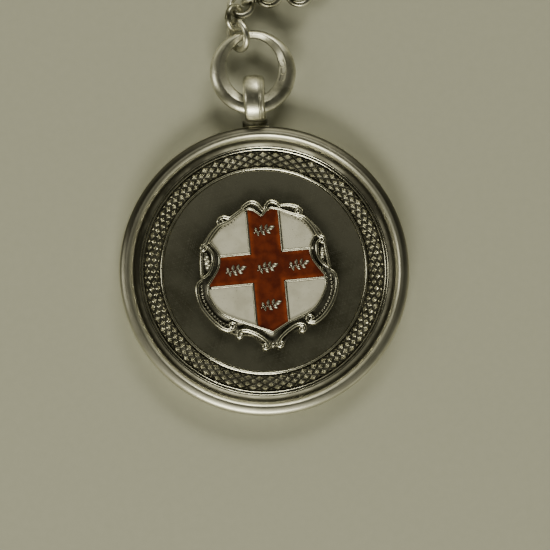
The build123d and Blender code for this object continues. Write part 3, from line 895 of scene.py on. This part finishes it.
def make_sprigs(material):
    """Five applied sprigs of leaves on a beaded stem, in a cross on the red enamel."""
    both = bmesh.new()
    leaves = (
        (0.45, 0.1, 14, 0.78, 0.42), (0.12, 0.1, 62, 0.6, 0.36), (0.2, 0.0, -42, 0.68, 0.36),
        (-0.38, 0.02, 76, 0.62, 0.36), (-0.3, -0.08, -52, 0.66, 0.36), (-0.8, -0.12, 112, 0.55, 0.34),
        (-0.75, -0.16, -78, 0.5, 0.3),
    )
    for x, y, turn, length, width in leaves:
        leaf = leaf_mesh(length, width, 0.12, 0.05)
        leaf.transform(Matrix.Translation((x * MM, y * MM, 0)) @ Matrix.Rotation(radians(turn), 4, "Z"))
        both.from_mesh(leaf)
    for step in range(9):
        share = step / 8
        place = (-1.1 + 1.6 * share, -0.22 + 0.32 * share, 0.05)
        stem = Matrix.Translation(Vector(place) * MM)
        thick = (0.09 - 0.03 * share) * MM
        bmesh.ops.create_uvsphere(both, u_segments=8, v_segments=6, radius=thick, matrix=stem)
    mesh = bpy.data.meshes.new("one_sprig")
    both.to_mesh(mesh)
    both.free()
    sprig = bpy.data.objects.new("one_sprig", mesh)
    bpy.context.scene.collection.objects.link(sprig)
    up_step = 4.15
    side_step = 3.5
    places = ((0, 0), (0, up_step), (0, -up_step), (side_step, 0), (-side_step, 0))
    dots = [Vector(on_medal(x, y, enamel_top)) * MM for x, y in places]
    start = bpy.data.meshes.new("sprig_places")
    start.from_pydata(dots, [], [])
    sizes = {"Sprig": sprig, "Turn": radians(shield_turn), "Material": material}
    made = grown("sprig_cross", start, sprig_recipe, sizes)
    bpy.data.objects.remove(sprig)
    return finished("leaf_cross", made, material, 40)


# ---------------------------------------------------------------- bail and ring

def make_bail(material):
    """Upright loop of domed strap with fine reeding near one edge."""
    centre = middle_of("bail_loop")
    half_length = 2.65
    half_depth = 2.3
    wall = 0.5
    half_width = 1.15
    twist = radians(5)
    stations = 65
    steps = 160
    reeds = (0.42, 0.94)             # where the reeding lies, as shares of the half width
    reed_step = 0.13
    reed_depth = 0.05
    rows = []
    for step in range(steps):
        angle = 2 * pi * step / steps
        point = Vector((0, half_length * cos(angle), half_depth * sin(angle)))
        outward = Vector((0, cos(angle) / half_length, sin(angle) / half_depth)).normalized()
        row = []
        for station in range(stations):
            share = -1 + 2 * station / (stations - 1)
            drop = 0.1 * share ** 2 + 0.32 * abs(share) ** 9
            if reeds[0] < share < reeds[1]:
                drop += reed_depth * (1 - cos(2 * pi * (share - reeds[0]) / reed_step)) / 2
            across = Vector((share * half_width, 0, 0))
            row.append(point + across - outward * drop)
        for station in range(7):
            share = 1 - 2 * station / 6
            inside = wall - 0.08 * abs(share) ** 4
            row.append(point + Vector((share * half_width * 0.96, 0, 0)) - outward * inside)
        turned_row = []
        for place in row:
            x = place.x * cos(twist) - place.z * sin(twist)
            z = place.x * sin(twist) + place.z * cos(twist)
            turned_row.append((centre.x + x, centre.y + place.y, centre.z + z))
        rows.append(turned_row)
    return finished("bail_strap", skin_mesh("bail_strap", rows), material, 50)


def make_fob_ring(material):
    """Heavy ring that tapers to its closed ends, with bevels that meet in a soft crest."""
    outer_radius = 4.75
    hole_half_width = 2.9
    hole_half_length = 3.3
    taper_offset = 0.5
    half_thickness = 0.65
    slit_angle = 88.0
    slit_half_angle = 0.36
    punch_angles = (-15.0, -1.0, 13.0)
    joint = next(joint for joint in frame["joints"] if joint["name"] == "ring_swing")
    pivot = Vector(joint["pos_m"]) / MM
    low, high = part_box("fob_ring")
    middle = (low + high) / 2 / MM
    along = Vector((0, middle.y - pivot.y, middle.z - pivot.z)).normalized()
    up = Vector((1, 0, 0)).cross(along)
    # the section from the hole outwards: share of the width and of the half thickness
    upper = (
        (0.0, 0.2), (0.03, 0.36), (0.12, 0.52), (0.3, 0.78), (0.42, 0.95), (0.49, 1.0),
        (0.58, 0.96), (0.74, 0.8), (0.87, 0.56), (0.96, 0.28), (1.0, 0.0),
    )
    section = smooth_path(upper, 3)
    section += [Vector((point.x, -point.y)) for point in reversed(section[:-1])]
    steps = 600
    rows = []
    for step in range(steps + 1):
        open_angle = 360 - 2 * slit_half_angle
        angle = radians(slit_angle + slit_half_angle + open_angle * step / steps)
        a = (cos(angle) / hole_half_width) ** 2 + (sin(angle) / hole_half_length) ** 2
        b = taper_offset * sin(angle) / hole_half_length ** 2
        c = (taper_offset / hole_half_length) ** 2 - 1
        hole = (b + (b * b - a * c) ** 0.5) / a
        width = outer_radius - hole
        row = []
        for point in section:
            reach = hole + width * point.x
            height = half_thickness * point.y
            if height > 0:
                height -= 0.1 * punched(angle, reach, punch_angles)
            place = Vector((cos(angle), 0, 0)) + along * sin(angle)
            place = middle + place * reach + up * height
            row.append(place)
        rows.append(row)
    return finished("heavy_ring", skin_mesh("heavy_ring", rows, joined=False), material, 45)


def punched(angle, reach, punch_angles):
    """1 inside one of the blank punch marks struck in the ring's side, else 0."""
    turn = (angle * 180 / pi + 180) % 360 - 180
    for number, middle in enumerate(punch_angles):
        along = (turn - middle) * pi / 180 * reach
        across = reach - 3.35
        if number == 1:
            inside = hypot(along / 0.4, across / 0.26) < 1
        else:
            inside = abs(along) < 0.36 and abs(across) < 0.25
        if inside:
            return 1
    return 0


# ---------------------------------------------------------------- chain

def ring_facts(node):
    """Centre, normal, centre-line radius and wire radius of a round ring, from its mesh."""
    centre = middle_of(node) * MM
    arms = [vertex.co - centre for vertex in frame["nodes"][node].data.vertices]
    spread = Matrix(((0, 0, 0), (0, 0, 0), (0, 0, 0)))
    for arm in arms:
        for row in range(3):
            for column in range(3):
                spread[row][column] += arm[row] * arm[column]
    # the normal is the direction in which the ring spreads least
    guess = Vector((0.3, 0.5, 0.8))
    flatten = spread.inverted()
    for _ in range(60):
        guess = (flatten @ guess).normalized()
    reach = max(arm.length for arm in arms)
    wire = max(abs(arm.dot(guess)) for arm in arms)
    return centre, guess, reach - wire, wire


def link_recipe(tree, given):
    """Round link of round wire, a little drawn in where its ends were soldered."""
    circle = {"Resolution": given["Steps"], "Radius": given["Link radius"]}
    path = tree.add("GeometryNodeCurvePrimitiveCircle", {}, circle)
    index = tree.add("GeometryNodeInputIndex")
    share = (index / given["Steps"] - 0.5).size() * 2.0
    seam = share.ramp(0.93, 0.99) * 0.07 - share.ramp(0.985, 1.0) * 0.05
    bead = {"Resolution": given["Sides"], "Radius": given["Wire radius"]}
    bead = tree.add("GeometryNodeCurvePrimitiveCircle", {}, bead)
    sweep = {"Curve": path, "Profile Curve": bead, "Scale": 1 - seam}
    return tree.add("GeometryNodeCurveToMesh", {}, sweep)


def make_link(name, node, seam_turn, material):
    """A round link in the place of its node; the seam stands at an angle round it."""
    centre, normal, radius, wire = ring_facts(node)
    sizes = {
        "Steps": 96,
        "Sides": 20,
        "Link radius": radius,
        "Wire radius": wire,
        "Material": material,
    }
    mesh = grown(name, bpy.data.meshes.new("nothing"), link_recipe, sizes)
    stand = normal.to_track_quat("Z", "Y").to_matrix().to_4x4()
    spin = Matrix.Rotation(radians(seam_turn), 4, "Z")
    mesh.transform(Matrix.Translation(centre) @ stand @ spin)
    return finished(name, mesh, material, 60)


def make_chain(material):
    """Every link of the chain, each on its own body."""
    nodes = sorted(node for node in frame["nodes"] if node.startswith("link_"))
    for number, node in enumerate(nodes):
        seam_turn = 137.5 * number
        link = make_link("wire_" + node, node, seam_turn, material)
        stand_for(link, node, "chain_silver", node)
    end = make_link("wire_end_ring", "end_ring", 40, material)
    stand_for(end, "end_ring", "chain_silver", "end_ring")


# ---------------------------------------------------------------- camera, lights and floor

def aim(thing, target):
    """Turns a light at the origin's frame so that it points at a target."""
    ray = Vector(target) - thing.location
    thing.rotation_euler = ray.to_track_quat("-Z", "Y").to_euler()


def soft_light(name, place, size, power, colour):
    lamp = bpy.data.lights.new(name, "AREA")
    lamp.shape = "RECTANGLE"
    lamp.size = size[0]
    lamp.size_y = size[1]
    lamp.energy = power
    lamp.color = colour
    thing = bpy.data.objects.new(name, lamp)
    thing.location = place
    bpy.context.scene.collection.objects.link(thing)
    aim(thing, (0, 0.005, 0))


def make_studio():
    """Pale floor, a dim even surround, soft lights and the camera."""
    half = 1.5
    floor = bpy.data.meshes.new("floor")
    corners = [(-half, -half, 0), (half, -half, 0), (half, half, 0), (-half, half, 0)]
    floor.from_pydata(corners, [], [(0, 1, 2, 3)])
    floor.materials.append(floor_finish())
    board = bpy.data.objects.new("floor", floor)
    bpy.context.scene.collection.objects.link(board)

    world = bpy.data.worlds.new("studio")
    world.use_nodes = True
    world.node_tree.nodes.clear()
    room = Tree(world.node_tree)
    way = room.add("ShaderNodeTexCoord", output="Generated")
    height = room.add("ShaderNodeSeparateXYZ", {}, {0: way}, 2)
    depth = room.add("ShaderNodeSeparateXYZ", {}, {0: way}, 1)
    ends = {0: depth.size().ramp(0.3, 0.95), 6: (0.22, 0.217, 0.155, 1), 7: (0.95, 0.93, 0.67, 1)}
    horizon = room.add("ShaderNodeMix", {"data_type": "RGBA"}, ends, 2)
    walls = {0: height.ramp(0.75, 0.1), 6: (0.030, 0.030, 0.021, 1), 7: horizon}
    tone = room.add("ShaderNodeMix", {"data_type": "RGBA"}, walls, 2)
    glow = room.add("ShaderNodeBackground", {}, {"Color": tone, "Strength": 1.0})
    end = world.node_tree.nodes.new("ShaderNodeOutputWorld")
    world.node_tree.links.new(glow.socket, end.inputs["Surface"])
    bpy.context.scene.world = world

    warm = (1.0, 0.975, 0.78)
    soft_light("window_light", (0.10, 0.42, 0.30), (0.3, 0.12), 1.3, warm)
    soft_light("near_light", (-0.08, -0.42, 0.28), (0.3, 0.12), 2.0, warm)
    soft_light("side_light", (-0.45, 0.05, 0.30), (0.12, 0.25), 0.4, warm)

    right = Vector((0.998, -0.061, 0))
    page_up = Vector((0.061, 0.998, 0))
    target = right * 1.13 * MM - page_up * 0.52 * MM + Vector((0, 0, 2 * MM))
    tilt = radians(4.5)
    lean_way = radians(225)
    back = Vector((cos(lean_way) * sin(tilt), sin(lean_way) * sin(tilt), cos(tilt)))
    camera_up = (page_up - back * page_up.dot(back)).normalized()
    camera_right = camera_up.cross(back)
    lens = bpy.data.cameras.new("camera")
    lens.lens = 150
    lens.sensor_width = 36
    lens.clip_start = 0.005
    lens.clip_end = 20
    camera = bpy.data.objects.new("camera", lens)
    distance = 0.2525
    turn = Matrix((camera_right, camera_up, back)).transposed().to_4x4()
    camera.matrix_world = Matrix.Translation(target + back * distance) @ turn
    bpy.context.scene.collection.objects.link(camera)
    bpy.context.scene.camera = camera


# ---------------------------------------------------------------- the whole object

def paint(material, *nodes):
    """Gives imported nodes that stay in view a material."""
    for node in nodes:
        for place in frame["nodes"][node].material_slots:
            place.material = material


def main():
    rim = rim_finish()
    border = modelled_finish("border_silver", 1.0, 1.12, 9.0)
    frame_silver = modelled_finish("frame_silver", 1.82, 2.1, 8.0)
    bail = polished_finish("bail_silver", 0.35, 1.5)
    ring = polished_finish("ring_silver", 0.45, 2.2)
    chain = polished_finish("chain_silver", 1.1, 0.8)
    clip = polished_finish("clip_silver", 0.35, 2.0)
    foot = polished_finish("foot_silver", 1.6, 1.5)
    sprig_silver = modelled_finish("sprig_silver", 1.93, 2.12, 10.0)

    stand_for(make_rim(rim), "medal", "rim_silver", "rim_ring")
    stand_for(make_border(border), "medal", "border_silver", "border_ring")
    stand_for(make_frame_bed(frame_silver), "medal", "frame_silver", "shield_frame")
    stand_for(make_scrolls(frame_silver), "medal", "frame_silver", "shield_frame")
    stand_for(make_beads(frame_silver), "medal", "frame_silver", "shield_frame")
    stand_for(make_shells(frame_silver), "medal", "frame_silver", "shield_frame")
    stand_for(make_sprigs(sprig_silver), "medal", "frame_silver", "leaf_sprigs")
    stand_for(make_bail(bail), "medal", "bail_silver", "bail_loop")
    stand_for(make_fob_ring(ring), "fob_ring", "ring_silver", "fob_ring")
    make_chain(chain)

    paint(field_finish(), "back_plate")
    paint(foot, "bail_foot")
    paint(red_enamel_finish(), "enamel_cross")
    paint(white_enamel_finish(), "enamel_quarters")
    paint(clip, "swivel_eye", "swivel_rivet", "clip_hook", "clip_gate")
    paint(steel_finish(), "gate_pin", "gate_spring")
    make_studio()


main()
